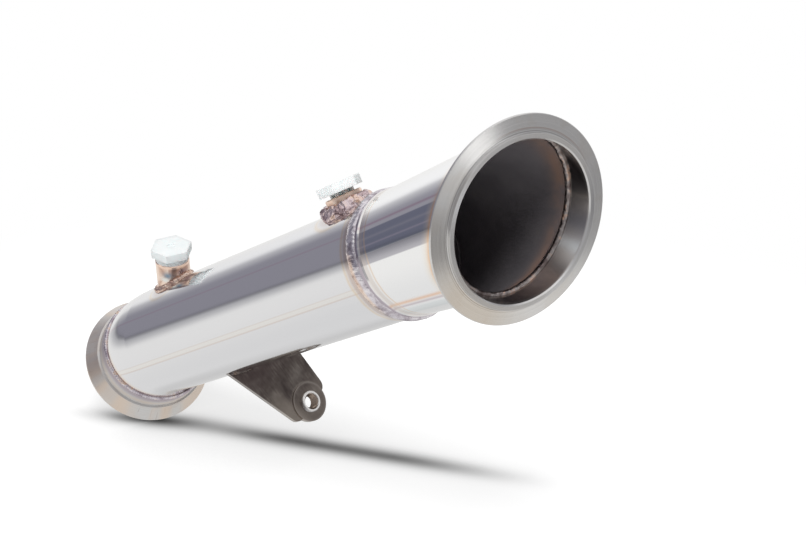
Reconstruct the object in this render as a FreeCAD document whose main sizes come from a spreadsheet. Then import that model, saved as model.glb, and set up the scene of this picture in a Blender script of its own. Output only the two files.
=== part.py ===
"""Turbo downpipe in polished stainless tube.

A turbo flange carries a tapered reducer that slips over a long straight pipe.
The pipe turns a little before its outlet flange. Two sensor bungs with transit
plugs and one support bracket with a threaded boss are welded to the pipe.

The origin is the centre of the turbo flange's rim, halfway through its width.
+X leaves the flange towards the turbo, +Z is up, and the pipe runs back and
down from the flange.
"""
import FreeCAD, Part
import math
import os

import Sketcher
from FreeCAD import Placement, Rotation, Vector

doc = FreeCAD.newDocument("TurboDownpipe")
sheet = doc.addObject("Spreadsheet::Sheet", "Sizes")

# Driving sizes, in millimetres and degrees

# Main pipe
pipe_od = 88.9  # outside diameter
pipe_wall = 1.5  # wall
pipe_straight = 322  # from the joint to the start of its bend
bend_radius = 105  # radius of the bend on its centre line
bend_angle = 16.3  # angle of the bend
bend_side = 118  # direction of the bend, in degrees round the pipe from its top
pipe_stub = 2  # straight end after the bend
bore_overrun = 1  # how far the bore's form runs past the pipe's ends

# Reducer
face_tilt = 29.3  # angle between the pipe's axis and the turbo flange's axis
pipe_roll = 15.8  # turn of the pipe about the turbo flange's axis
axes_meet = 11.4  # depth behind the middle of the rim at which the two axes meet
joint_distance = 108.4  # from where the axes meet back to the joint
reducer_small_od = 90.4  # outside diameter where the cone starts
reducer_wall = 1.5  # wall
socket_length = 7  # length that slips over the pipe
socket_fit = 0.1  # clearance round the pipe in the socket
neck_length = 1.5  # step from the socket down to the cone

# Turbo flange
turbo_rim = 2  # width of the rim's edge
turbo_chamfer = 0.4  # chamfer of the rim
turbo_back = 13  # depth behind the middle of the rim
hub_inset = 11  # from the rim in to the back, on the radius
turbo_hub_length = 2.5  # straight part of the back
face_rise = 2  # rise of the sealing face to the lip
sealing_face = 11.5  # from the rim in to the lip, on the radius
lip_height = 4.8  # top of the lip above the rim
lip_wall = 4  # thickness of the lip
lip_bore = 109  # bore at the lip
bore_flare = 10.4  # how much wider the bore is at the lip than the reducer is outside
lip_chamfer = 0.9  # chamfer of the lip's bore
seat_depth = 10  # depth of the reducer's end behind the middle of the rim

# Outlet flange
outlet_od = 108.4  # diameter of the rim
outlet_length = 36  # length from the pipe's end
outlet_rim = 3  # width of the rim's edge
outlet_hub_od = 92.2  # diameter of the hub
outlet_hub_length = 17.5  # length of the hub
outlet_shoulder_od = 95.2  # small end of the shoulder
outlet_groove = 1.6  # width of the groove between hub and shoulder
outlet_groove_depth = 0.7  # depth of the groove under the hub
outlet_recess_od = 97  # diameter of the gasket recess
outlet_recess_depth = 4  # depth of the gasket recess
outlet_chamfer = 0.8  # chamfer of the rim

# Sensor bungs
bung_od = 27.6  # outside diameter
bung_bore = 16.5  # bore of the M18 x 1.5 thread
bung_chamfer = 0.8  # chamfer of the rim
upper_bung_height = 9.8  # upper bung, height above the pipe
upper_bung_distance = 36.5  # upper bung, from the joint along the pipe
upper_bung_side = -23.7  # upper bung, degrees round the pipe from its top
lower_bung_height = 20.8  # lower bung, height above the pipe along its axis
lower_bung_to_bend = 14  # lower bung, from where its axis meets the pipe's to the start of the bend
lower_bung_side = -27.8  # lower bung, degrees round the pipe from its top
lower_bung_lean = 35.4  # lower bung, lean towards the turbo flange

# Transit plugs
hex_flats = 29.4  # width of the head across its flats
hex_height = 7  # height of the head
dimple_od = 6  # diameter of the dimple in the head
dimple_depth = 0.7  # depth of the dimple in the head
collar_height = 4.6  # lower plug, height of the collar
collar_inset = 0.3  # lower plug, from the bung's rim in to the collar
neck_height = 2.6  # upper plug, height of the notched neck
neck_od = 18  # upper plug, diameter of the notched neck
notch_width = 3  # upper plug, width of each notch
notch_depth = 2.2  # upper plug, depth of each notch
notch_count = 8  # upper plug, number of notches
shank_length = 9  # length in the bung
shank_fit = 0.15  # clearance round the shank
upper_hex_turn = 6  # upper plug, turn of its head about the bung
lower_hex_turn = 5  # lower plug, turn of its head about the bung

# Bracket and boss
bracket_distance = 235  # from the joint to its front face
bracket_side = 131.5  # degrees round the pipe from its top
bracket_reach = 100  # from the pipe's axis to the boss
bracket_root = 27  # from the pipe's axis to its widest place
bracket_root_width = 68  # greatest width
plate_past_boss = 4  # from the boss's axis to the end of the plate
bracket_end_width = 42  # width at the end of the plate
bracket_corner = 7  # radius of the corners of the plate
plate_thickness = 4  # thickness of the plate
pad_od = 32.4  # diameter of the round pad at the boss
pad_rise = 1.2  # height of the pad over the plate
boss_od = 17.4  # outside diameter
boss_bore = 10.4  # bore of the M12 thread
boss_countersink = 13.8  # diameter of the countersink
countersink_depth = 1.7  # depth of the countersink
boss_proud = 3  # height over the pad
boss_behind = 1.2  # height behind the plate
boss_chamfer = 0.6  # chamfer of its edges

# Weld beads
joint_bead_width = 9  # weld at the joint, width
joint_bead_height = 2.2  # weld at the joint, height over the pipe
joint_bead_offset = 1.5  # weld at the joint, from the socket's mouth to its middle
outlet_bead_width = 5  # weld at the outlet flange, width
outlet_bead_height = 1.7  # weld at the outlet flange, height over the pipe
turbo_bead = 2  # weld behind the turbo flange, radius of its section
inner_bead = 1.9  # weld inside the turbo flange, radius of its section
upper_bead_top = 31.6  # weld of the upper bung, diameter at its top
upper_bead_base = 41  # weld of the upper bung, diameter at the pipe
upper_bead_drop = 2.2  # weld of the upper bung, from its top up to the rim
lower_bead_height = 2.6  # weld of the lower bung, height over the pipe
lower_bead_width = 3.4  # weld of the lower bung, width round the bung
bracket_bead = 2.8  # weld of the bracket, radius of its section

# Sizes that follow from others
reducer_large_od = lip_bore - bore_flare
lip_od = lip_bore + 2 * lip_wall
turbo_od = lip_od + 2 * sealing_face
turbo_hub_od = turbo_od - 2 * hub_inset
bracket_end = bracket_reach + plate_past_boss

sizes = {name: value for name, value in globals().items()
         if isinstance(value, (int, float)) and not name.startswith("_")}
for row, (alias, value) in enumerate(sizes.items(), start=1):
    sheet.set("A%d" % row, alias.replace("_", " "))
    sheet.set("B%d" % row, str(value))
    sheet.setAlias("B%d" % row, alias)
doc.recompute()


# Small helpers

def mm(rule):
    """The present value of a size or of a rule made of sizes."""
    return float(sheet.evalExpression(rule if "Sizes." in rule else "Sizes." + rule))


def make(kind, name, **rules):
    """Add an object whose sizes are bound to the sheet."""
    item = doc.addObject(kind, name)
    for prop, rule in rules.items():
        item.setExpression(prop, rule)
    return item


def cut(name, base, tool):
    result = doc.addObject("Part::Cut", name)
    result.Base = base
    result.Tool = tool
    return result


def common(name, first, second):
    result = doc.addObject("Part::Common", name)
    result.Base = first
    result.Tool = second
    return result


def fuse(name, items):
    result = doc.addObject("Part::MultiFuse", name)
    result.Shapes = items
    result.Refine = True
    return result


def frame(origin, x_way, z_way):
    """A placement with its Z along z_way and its X as near x_way as it can be."""
    return Placement(origin, Rotation(x_way, z_way.cross(x_way), z_way, "ZXY"))


def shifted(place, x=0.0, y=0.0, z=0.0):
    """A placement moved along its own directions."""
    return place.multiply(Placement(Vector(x, y, z), Rotation()))


def spun(place, degrees):
    """A placement turned about its own Z."""
    return place.multiply(Placement(Vector(), Rotation(Vector(0, 0, 1), degrees)))


def cylinder(name, radius, height, place):
    item = make("Part::Cylinder", name, Radius=radius, Height=height)
    item.Placement = place
    return item


def outline(body, name, role, points):
    """A closed sketch of straight sides; each point is a pair of sheet rules."""
    sketch = body.newObject("Sketcher::SketchObject", name)
    plane = [item for item in body.Origin.OriginFeatures if item.Role == role][0]
    sketch.AttachmentSupport = [(plane, "")]
    sketch.MapMode = "FlatFace"
    places = [(mm(x), mm(y)) for x, y in points]
    count = len(points)
    for i in range(count):
        start = Vector(*places[i], 0)
        end = Vector(*places[(i + 1) % count], 0)
        sketch.addGeometry(Part.LineSegment(start, end), False)
    for i in range(count):
        sketch.addConstraint(Sketcher.Constraint("Coincident", i, 2, (i + 1) % count, 1))
    for i in range(count):
        for axis, kind in enumerate(("DistanceX", "DistanceY")):
            fixed = Sketcher.Constraint(kind, -1, 1, i, 1, places[i][axis])
            index = sketch.addConstraint(fixed)
            sketch.setExpression("Constraints[%d]" % index, points[i][axis])
    return sketch


def turned(name, points):
    """A body turned about its local Z from points of radius and height."""
    body = doc.addObject("PartDesign::Body", name)
    sketch = outline(body, name + "_profile", "XZ_Plane", points)
    spin = body.newObject("PartDesign::Revolution", name + "_turned")
    spin.Profile = sketch
    spin.ReferenceAxis = (sketch, ["V_Axis"])
    spin.Angle = 360
    return body


def bead_along(name, item, edge_name, radius):
    """A round bead swept along one closed edge of another object."""
    edge = item.Shape.getElement(edge_name)
    start = edge.valueAt(edge.FirstParameter)
    way = edge.tangentAt(edge.FirstParameter)
    section = make("Part::Circle", name + "_section", Radius=radius)
    section.Placement = Placement(start, Rotation(Vector(0, 0, 1), way))
    sweep = doc.addObject("Part::Sweep", name)
    sweep.Sections = [section]
    sweep.Spine = (item, [edge_name])
    sweep.Solid = True
    sweep.Frenet = True
    return sweep


def end_edge(item, depth, longest):
    """The name of the longest or shortest closed edge in the plane at a depth."""
    found = []
    for number, edge in enumerate(item.Shape.Edges, start=1):
        box = edge.BoundBox
        if edge.isClosed() and abs(box.XMin + depth) < 0.01 and abs(box.XMax + depth) < 0.01:
            found.append((edge.Length, "Edge%d" % number))
    found.sort()
    return found[-1 if longest else 0][1]


# Frames of the flange, the pipe, its bend and its outlet end

tilt = math.radians(mm("face_tilt"))
roll = math.radians(mm("pipe_roll"))
bend = math.radians(mm("bend_angle"))
rise_way = Vector(0, math.sin(roll), math.cos(roll))
pipe_axis = -Vector(1, 0, 0) * math.cos(tilt) - rise_way * math.sin(tilt)
pipe_top = -Vector(1, 0, 0) * math.sin(tilt) + rise_way * math.cos(tilt)
pipe_side = pipe_axis.cross(pipe_top)


def round_pipe(degrees):
    """The direction at an angle round the pipe from its top."""
    angle = math.radians(degrees)
    return pipe_top * math.cos(angle) + pipe_side * math.sin(angle)


def along_pipe(distance):
    """The point on the pipe's axis at a distance from the joint, outlet way positive."""
    crossing = Vector(-mm("axes_meet"), 0, 0)
    return crossing + pipe_axis * (mm("joint_distance") + distance)


flange_frame = frame(Vector(0, 0, 0), rise_way, Vector(1, 0, 0))
pipe_frame = frame(along_pipe(0), pipe_top, pipe_axis)
reducer_frame = frame(along_pipe(0), pipe_top, -pipe_axis)
bend_way = round_pipe(mm("bend_side"))
bend_centre = along_pipe(mm("pipe_straight")) + bend_way * mm("bend_radius")
bend_frame = frame(bend_centre, -bend_way, pipe_axis.cross(bend_way))
outlet_way = pipe_axis * math.cos(bend) + bend_way * math.sin(bend)
outward_way = pipe_axis * math.sin(bend) - bend_way * math.cos(bend)
stub_frame = frame(bend_centre + outward_way * mm("bend_radius"), outward_way, outlet_way)
outlet_frame = shifted(stub_frame, z=mm("pipe_stub"))


# Reducer: a slip socket, a step and a cone, cut off parallel to the flange's face

cone_slope = ("(Sizes.reducer_large_od - Sizes.reducer_small_od) / 2"
              " / (Sizes.joint_distance - Sizes.socket_length - Sizes.neck_length)")
socket_bore = "Sizes.pipe_od / 2 + Sizes.socket_fit"


def reducer_blank(name, socket, inset):
    """The reducer's outer form, or the form of its bore with an inset of one wall."""
    far = "Sizes.joint_distance + Sizes.reducer_large_od / 2"
    far_radius = "Sizes.reducer_large_od / 2 * (1 + %s)" % cone_slope
    body = turned(name, [
        ("0 * Sizes.pipe_od", "0 * Sizes.pipe_od"),
        (socket, "0 * Sizes.pipe_od"),
        (socket, "Sizes.socket_length"),
        ("Sizes.reducer_small_od / 2 - " + inset, "Sizes.socket_length + Sizes.neck_length"),
        (far_radius + " - " + inset, far),
        ("0 * Sizes.pipe_od", far)])
    body.Placement = reducer_frame
    return body


def space_behind(name, depth):
    """All the room behind a plane that is parallel to the flange's face."""
    box = make("Part::Box", name, Length="Sizes.joint_distance * 2",
               Width="Sizes.turbo_od * 2", Height="Sizes.turbo_od * 2")
    low = Vector(-mm(depth) - 2 * mm("joint_distance"), -mm("turbo_od"), -mm("turbo_od"))
    box.Placement = Placement(low, Rotation())
    return box


reducer_outer = reducer_blank("reducer_outer", socket_bore + " + Sizes.reducer_wall", "0 * Sizes.pipe_od")
reducer_inner = reducer_blank("reducer_inner", socket_bore, "Sizes.reducer_wall")
behind_seat = space_behind("behind_seat", "seat_depth")
reducer_end = common("reducer_end", reducer_outer, behind_seat)
reducer = cut("reducer", reducer_end, reducer_inner)


# Turbo flange: a turned ring whose bore flows from round to the reducer's slanted end

axis_radius = ("(Sizes.reducer_large_od / 2 - Sizes.reducer_wall + %s"
               " * (Sizes.axes_meet - Sizes.seat_depth) / cos(Sizes.face_tilt))" % cone_slope)
squash = "(cos(Sizes.face_tilt) ^ 2 - (%s) ^ 2 * sin(Sizes.face_tilt) ^ 2)" % cone_slope
cone_shift = "(%s * %s * sin(Sizes.face_tilt) / %s)" % (axis_radius, cone_slope, squash)

rim_front = "Sizes.turbo_back + Sizes.turbo_rim / 2"

turbo_blank = turned("turbo_blank", [
    ("0 * Sizes.turbo_od", "0 * Sizes.turbo_od"),
    ("Sizes.turbo_hub_od / 2", "0 * Sizes.turbo_od"),
    ("Sizes.turbo_hub_od / 2", "Sizes.turbo_hub_length"),
    ("Sizes.turbo_od / 2 - Sizes.turbo_chamfer", "Sizes.turbo_back - Sizes.turbo_rim / 2"),
    ("Sizes.turbo_od / 2", "Sizes.turbo_back - Sizes.turbo_rim / 2 + Sizes.turbo_chamfer"),
    ("Sizes.turbo_od / 2", rim_front + " - Sizes.turbo_chamfer"),
    ("Sizes.turbo_od / 2 - Sizes.turbo_chamfer", rim_front),
    ("Sizes.lip_od / 2", rim_front + " + Sizes.face_rise"),
    ("Sizes.lip_od / 2", rim_front + " + Sizes.lip_height"),
    ("0 * Sizes.turbo_od", rim_front + " + Sizes.lip_height")])
turbo_blank.Placement = shifted(flange_frame, z=-mm("turbo_back"))

bore_mouth = make("Part::Circle", "bore_mouth", Radius="Sizes.lip_bore / 2")
bore_mouth.Placement = shifted(flange_frame, z=mm("turbo_rim") / 2 + mm("lip_height") - mm("lip_chamfer"))
bore_seat = make("Part::Ellipse", "bore_seat",
                 MajorRadius="sqrt(%s ^ 2 / %s + %s ^ 2)" % (axis_radius, squash, cone_shift),
                 MinorRadius="sqrt(%s ^ 2 + %s * %s ^ 2)" % (axis_radius, squash, cone_shift))
seat_offset = (mm("axes_meet") - mm("seat_depth")) * math.tan(tilt) + mm(cone_shift)
bore_seat.Placement = shifted(flange_frame, x=seat_offset, z=-mm("seat_depth"))
bore = doc.addObject("Part::Loft", "bore")
bore.Sections = [bore_seat, bore_mouth]
bore.Solid = True

lip_cone = make("Part::Cone", "lip_cone", Radius1="Sizes.lip_bore / 2",
                Radius2="Sizes.lip_bore / 2 + 2 * Sizes.lip_chamfer", Height="2 * Sizes.lip_chamfer")
lip_cone.Placement = bore_mouth.Placement
bored_flange = cut("bored_flange", turbo_blank, bore)
chamfered_flange = cut("chamfered_flange", bored_flange, lip_cone)
turbo_flange = cut("turbo_flange", chamfered_flange, reducer_end)


# Main pipe: a straight run into the socket, a gentle bend and a short stub

def pipe_form(name, radius, beyond):
    """The main pipe's outer form, or its bore, which runs a little past both ends."""
    start = mm("socket_length") + beyond
    straight = cylinder(name + "_straight", radius, "Sizes.pipe_straight + Sizes.socket_length + %g" % beyond,
                        shifted(pipe_frame, z=-start))
    arc = make("Part::Torus", name + "_bend", Radius1="Sizes.bend_radius", Radius2=radius,
               Angle3="Sizes.bend_angle")
    arc.Placement = bend_frame
    stub = cylinder(name + "_stub", radius, "Sizes.pipe_stub + %g" % beyond, stub_frame)
    return fuse(name, [straight, arc, stub])


pipe_outer = pipe_form("pipe_outer", "Sizes.pipe_od / 2", 0)
pipe_inner = pipe_form("pipe_inner", "Sizes.pipe_od / 2 - Sizes.pipe_wall", mm("bore_overrun"))


# Sensor bungs, coped to the pipe, with a bore that goes on through the pipe's wall

upper_way = round_pipe(mm("upper_bung_side"))
upper_frame = frame(along_pipe(mm("upper_bung_distance")), pipe_axis, upper_way)
lean = math.radians(mm("lower_bung_lean"))
lower_way = round_pipe(mm("lower_bung_side")) * math.cos(lean) - pipe_axis * math.sin(lean)
lower_frame = frame(along_pipe(mm("pipe_straight") - mm("lower_bung_to_bend")), pipe_axis, lower_way)
upper_rim = "(Sizes.pipe_od / 2 + Sizes.upper_bung_height)"
lower_rim = "(Sizes.pipe_od / 2 / cos(Sizes.lower_bung_lean) + Sizes.lower_bung_height)"
bung_start = "Sizes.pipe_od / 4"


def bung(name, place, rim):
    """A turned boss whose foot is cut to the pipe's outside."""
    blank = turned(name + "_blank", [
        ("Sizes.bung_bore / 2", bung_start),
        ("Sizes.bung_od / 2", bung_start),
        ("Sizes.bung_od / 2", rim + " - Sizes.bung_chamfer"),
        ("Sizes.bung_od / 2 - Sizes.bung_chamfer", rim),
        ("Sizes.bung_bore / 2 + Sizes.bung_chamfer", rim),
        ("Sizes.bung_bore / 2", rim + " - Sizes.bung_chamfer")])
    blank.Placement = place
    return cut(name, blank, pipe_outer)


upper_bung = bung("upper_sensor_bung", upper_frame, upper_rim)
lower_bung = bung("lower_sensor_bung", lower_frame, lower_rim)

upper_hole = cylinder("upper_hole", "Sizes.bung_bore / 2", upper_rim, upper_frame)
lower_hole = cylinder("lower_hole", "Sizes.bung_bore / 2", lower_rim, lower_frame)
main_pipe = cut("main_pipe", pipe_outer, fuse("pipe_openings", [pipe_inner, upper_hole, lower_hole]))


# Transit plugs in the bungs

def plug_head(name, place, turn, foot):
    """A hexagon head with a shallow dimple, from foot up along the bung's axis."""
    head = make("Part::Prism", name + "_head", Circumradius="Sizes.hex_flats / 2 / cos(30)",
                Height="Sizes.hex_height")
    head.Polygon = 6
    turned_place = spun(shifted(place, z=mm(foot)), mm(turn))
    head.Placement = turned_place
    dimple = cylinder(name + "_dimple", "Sizes.dimple_od / 2", "Sizes.dimple_depth * 2",
                      shifted(turned_place, z=mm("hex_height") - mm("dimple_depth")))
    return cut(name + "_dimpled_head", head, dimple)


def plug_shank(name, place, rim):
    return cylinder(name + "_shank", "Sizes.bung_bore / 2 - Sizes.shank_fit", "Sizes.shank_length",
                    shifted(place, z=mm(rim) - mm("shank_length")))


lower_collar = cylinder("lower_plug_collar", "Sizes.bung_od / 2 - Sizes.collar_inset", "Sizes.collar_height",
                        shifted(lower_frame, z=mm(lower_rim)))
lower_plug = fuse("lower_bung_plug", [
    plug_head("lower_plug", lower_frame, "lower_hex_turn", lower_rim + " + Sizes.collar_height"),
    lower_collar,
    plug_shank("lower_plug", lower_frame, lower_rim)])

neck = cylinder("upper_plug_neck", "Sizes.neck_od / 2", "Sizes.neck_height",
                shifted(upper_frame, z=mm(upper_rim)))
notches = []
for number in range(notch_count):
    notch = make("Part::Box", "notch_%d" % number, Length="Sizes.notch_depth * 2",
                 Width="Sizes.notch_width", Height="Sizes.neck_height")
    notch_frame = spun(upper_frame, 360.0 * number / notch_count)
    notch_floor = mm("neck_od") / 2 - mm("notch_depth")
    notch.Placement = shifted(notch_frame, x=notch_floor, y=-mm("notch_width") / 2, z=mm(upper_rim))
    notches.append(notch)
notched_neck = cut("notched_neck", neck, fuse("notches", notches))
upper_plug = fuse("upper_bung_plug", [
    plug_head("upper_plug", upper_frame, "upper_hex_turn", upper_rim + " + Sizes.neck_height"),
    notched_neck,
    plug_shank("upper_plug", upper_frame, upper_rim)])


# Outlet flange: a hub, a groove and a tapered shoulder out to the rim

pipe_bore = "Sizes.pipe_od / 2 - Sizes.pipe_wall"
outlet_flange = turned("outlet_flange", [
    (pipe_bore, "0 * Sizes.outlet_od"),
    ("Sizes.outlet_hub_od / 2", "0 * Sizes.outlet_od"),
    ("Sizes.outlet_hub_od / 2", "Sizes.outlet_hub_length"),
    ("Sizes.outlet_hub_od / 2 - Sizes.outlet_groove_depth",
     "Sizes.outlet_hub_length + Sizes.outlet_groove / 2"),
    ("Sizes.outlet_shoulder_od / 2", "Sizes.outlet_hub_length + Sizes.outlet_groove"),
    ("Sizes.outlet_od / 2", "Sizes.outlet_length - Sizes.outlet_rim"),
    ("Sizes.outlet_od / 2", "Sizes.outlet_length - Sizes.outlet_chamfer"),
    ("Sizes.outlet_od / 2 - Sizes.outlet_chamfer", "Sizes.outlet_length"),
    ("Sizes.outlet_recess_od / 2", "Sizes.outlet_length"),
    ("Sizes.outlet_recess_od / 2", "Sizes.outlet_length - Sizes.outlet_recess_depth"),
    (pipe_bore, "Sizes.outlet_length - Sizes.outlet_recess_depth")])
outlet_flange.Placement = outlet_frame


# Bracket: a tapering plate across the pipe with a round pad, and its threaded boss

bracket_way = round_pipe(mm("bracket_side"))
bracket_back = along_pipe(mm("bracket_distance") + mm("plate_thickness"))
bracket_frame = frame(bracket_back, bracket_way, -pipe_axis)
boss_place = shifted(bracket_frame, x=mm("bracket_reach"), z=-mm("boss_behind"))
boss_length = "Sizes.boss_behind + Sizes.plate_thickness + Sizes.pad_rise + Sizes.boss_proud"

plate = doc.addObject("PartDesign::Body", "bracket_plate")
plate_sketch = outline(plate, "plate_outline", "XY_Plane", [
    ("Sizes.bracket_root", "-Sizes.bracket_root_width / 2"),
    ("Sizes.bracket_end", "-Sizes.bracket_end_width / 2"),
    ("Sizes.bracket_end", "Sizes.bracket_end_width / 2"),
    ("Sizes.bracket_root", "Sizes.bracket_root_width / 2")])
plate_pad = plate.newObject("PartDesign::Pad", "plate_pad")
plate_pad.Profile = plate_sketch
plate_pad.setExpression("Length", "Sizes.plate_thickness")
doc.recompute()
corner_edges = []
for number, edge in enumerate(plate_pad.Shape.Edges, start=1):
    box = edge.BoundBox
    upright = box.ZLength > mm("plate_thickness") / 2
    if upright and box.XMin > mm("bracket_end") - mm("bracket_corner"):
        corner_edges.append("Edge%d" % number)
plate_corners = plate.newObject("PartDesign::Fillet", "plate_corners")
plate_corners.Base = (plate_pad, corner_edges)
plate_corners.setExpression("Radius", "Sizes.bracket_corner")
plate.Placement = bracket_frame

pad = cylinder("bracket_pad", "Sizes.pad_od / 2", "Sizes.plate_thickness + Sizes.pad_rise",
               shifted(bracket_frame, x=mm("bracket_reach")))
boss_hole = cylinder("boss_hole", "Sizes.boss_od / 2", boss_length, boss_place)
bracket_form = fuse("bracket_form", [plate, pad])
drilled_bracket = cut("drilled_bracket", bracket_form, boss_hole)
bracket = cut("bracket", drilled_bracket, pipe_outer)

boss = turned("bracket_boss", [
    ("Sizes.boss_bore / 2", "0 * Sizes.boss_od"),
    ("Sizes.boss_od / 2 - Sizes.boss_chamfer", "0 * Sizes.boss_od"),
    ("Sizes.boss_od / 2", "Sizes.boss_chamfer"),
    ("Sizes.boss_od / 2", boss_length + " - Sizes.boss_chamfer"),
    ("Sizes.boss_od / 2 - Sizes.boss_chamfer", boss_length),
    ("Sizes.boss_countersink / 2", boss_length),
    ("Sizes.boss_bore / 2", boss_length + " - Sizes.countersink_depth")])
boss.Placement = boss_place


# Welds

def ring_bead(name, width, height, place):
    """A low bead round the pipe: a torus with a chord of the width at the pipe's surface."""
    section = "((%s ^ 2 / 4 + %s ^ 2) / 2 / %s)" % (width, height, height)
    ring = make("Part::Torus", name, Radius1="Sizes.pipe_od / 2 + %s - %s" % (height, section),
                Radius2=section)
    ring.Placement = place
    return ring


joint_ring = ring_bead("joint_ring", "Sizes.joint_bead_width", "Sizes.joint_bead_height",
                       shifted(pipe_frame, z=mm("joint_bead_offset")))
joint_weld = cut("joint_weld", cut("joint_ring_on_pipe", joint_ring, pipe_outer), reducer_end)
outlet_ring = ring_bead("outlet_ring", "Sizes.outlet_bead_width", "Sizes.outlet_bead_height", outlet_frame)
outlet_solid = cylinder("outlet_solid", "Sizes.outlet_hub_od / 2", "Sizes.outlet_length", outlet_frame)
outlet_weld = cut("outlet_weld", cut("outlet_ring_on_pipe", outlet_ring, pipe_outer), outlet_solid)

behind_back = space_behind("behind_back", "turbo_back")
reducer_behind = common("reducer_behind", reducer_outer, behind_back)
doc.recompute()
outer_edge = end_edge(reducer_behind, mm("turbo_back"), True)
outer_sweep = bead_along("turbo_outer_sweep", reducer_behind, outer_edge, "Sizes.turbo_bead")
turbo_outer_bead = common("turbo_outer_bead", outer_sweep, behind_back)
turbo_outer_weld = cut("turbo_outer_weld", turbo_outer_bead, reducer_outer)
inner_edge = end_edge(reducer, mm("seat_depth"), False)
inner_sweep = bead_along("turbo_inner_sweep", reducer, inner_edge, "Sizes.inner_bead")
reducer_bore = common("reducer_bore", reducer_inner, behind_seat)
turbo_inner_weld = common("turbo_inner_weld", inner_sweep, fuse("turbo_way_through", [bore, reducer_bore]))
for weld in (turbo_outer_weld, turbo_inner_weld):
    weld.Refine = False

bead_foot = "Sizes.pipe_od / 2 - Sizes.upper_bead_base / 4"
upper_cone = make("Part::Cone", "upper_bead_cone", Radius1="Sizes.upper_bead_base / 2",
                  Radius2="Sizes.upper_bead_top / 2",
                  Height="%s - Sizes.upper_bead_drop - (%s)" % (upper_rim, bead_foot))
upper_cone.Placement = shifted(upper_frame, z=mm(bead_foot))
upper_solid = cylinder("upper_solid", "Sizes.bung_od / 2", upper_rim, upper_frame)
upper_bung_weld = cut("upper_bung_weld", cut("upper_bead_on_pipe", upper_cone, pipe_outer), upper_solid)

lower_skin = cylinder("lower_skin", "Sizes.pipe_od / 2 + Sizes.lower_bead_height", "Sizes.pipe_straight",
                      pipe_frame)
lower_column = cylinder("lower_column", "Sizes.bung_od / 2 + Sizes.lower_bead_width", lower_rim, lower_frame)
lower_solid = cylinder("lower_solid", "Sizes.bung_od / 2", lower_rim, lower_frame)
lower_bead = cut("lower_bead_on_pipe", common("lower_bead_blank", lower_skin, lower_column), pipe_outer)
lower_bung_weld = cut("lower_bung_weld", lower_bead, lower_solid)

bracket_rings = []
bracket_half_angle = mm("asin(Sizes.bracket_root_width / Sizes.pipe_od)")
for name, height in (("rear", 0.0), ("front", mm("plate_thickness"))):
    ring = make("Part::Torus", "bracket_bead_" + name, Radius1="Sizes.pipe_od / 2",
                Radius2="Sizes.bracket_bead", Angle3="2 * asin(Sizes.bracket_root_width / Sizes.pipe_od)")
    ring.Placement = spun(shifted(bracket_frame, z=height), -bracket_half_angle)
    bracket_rings.append(ring)
bracket_beads = cut("bracket_beads", fuse("bracket_rings", bracket_rings), pipe_outer)
bracket_weld = cut("bracket_weld", bracket_beads, bracket)


# Check and write every node

doc.recompute()
nodes = {
    "turbo_flange": turbo_flange,
    "turbo_outer_weld": turbo_outer_weld,
    "turbo_inner_weld": turbo_inner_weld,
    "reducer": reducer,
    "joint_weld": joint_weld,
    "main_pipe": main_pipe,
    "outlet_weld": outlet_weld,
    "outlet_flange": outlet_flange,
    "upper_sensor_bung": upper_bung,
    "upper_bung_weld": upper_bung_weld,
    "upper_bung_plug": upper_plug,
    "lower_sensor_bung": lower_bung,
    "lower_bung_weld": lower_bung_weld,
    "lower_bung_plug": lower_plug,
    "bracket": bracket,
    "bracket_weld": bracket_weld,
    "bracket_boss": boss,
}

for item in doc.Objects:
    if "Invalid" in item.State or "Error" in item.State:
        raise RuntimeError("%s could not be built: %s" % (item.Name, item.State))
for name, item in nodes.items():
    item.Label = name
    if item.Shape.isNull() or not item.Shape.isValid() or not item.Shape.Solids:
        raise RuntimeError("%s has no valid solid" % name)

os.makedirs("parts", exist_ok=True)
for name, item in nodes.items():
    item.Shape.exportStep(os.path.join("parts", name + ".step"))
    print("%-18s %d solid(s) %10.0f mm3" % (name, len(item.Shape.Solids), item.Shape.Volume))
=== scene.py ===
"""Looks of the turbo downpipe: its finishes, its weld beads and its studio.

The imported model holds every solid. This script gives each one its finish, and
puts rippled weld metal where the model has plain rings.
"""
import bpy
import math
from collections import namedtuple
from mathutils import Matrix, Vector, noise


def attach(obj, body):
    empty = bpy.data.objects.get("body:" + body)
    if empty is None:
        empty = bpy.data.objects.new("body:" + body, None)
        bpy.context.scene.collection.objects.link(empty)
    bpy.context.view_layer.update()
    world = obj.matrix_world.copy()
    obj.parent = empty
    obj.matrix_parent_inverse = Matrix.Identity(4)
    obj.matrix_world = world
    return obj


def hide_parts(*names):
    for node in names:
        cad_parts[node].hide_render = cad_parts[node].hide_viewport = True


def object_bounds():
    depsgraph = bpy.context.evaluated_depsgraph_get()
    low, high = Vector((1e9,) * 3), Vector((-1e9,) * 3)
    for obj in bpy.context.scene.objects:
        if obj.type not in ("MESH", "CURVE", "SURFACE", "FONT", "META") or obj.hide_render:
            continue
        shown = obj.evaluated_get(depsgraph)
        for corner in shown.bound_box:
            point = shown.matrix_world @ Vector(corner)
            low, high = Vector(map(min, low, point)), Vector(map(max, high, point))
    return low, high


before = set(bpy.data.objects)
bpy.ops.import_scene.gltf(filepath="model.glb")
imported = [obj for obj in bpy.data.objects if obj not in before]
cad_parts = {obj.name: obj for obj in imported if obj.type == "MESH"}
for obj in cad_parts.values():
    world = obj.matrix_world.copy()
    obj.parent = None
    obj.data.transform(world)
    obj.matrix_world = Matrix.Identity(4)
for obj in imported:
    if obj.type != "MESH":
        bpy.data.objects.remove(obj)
cad_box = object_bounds()

# Sizes that the looks share with the model, in metres and radians

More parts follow.
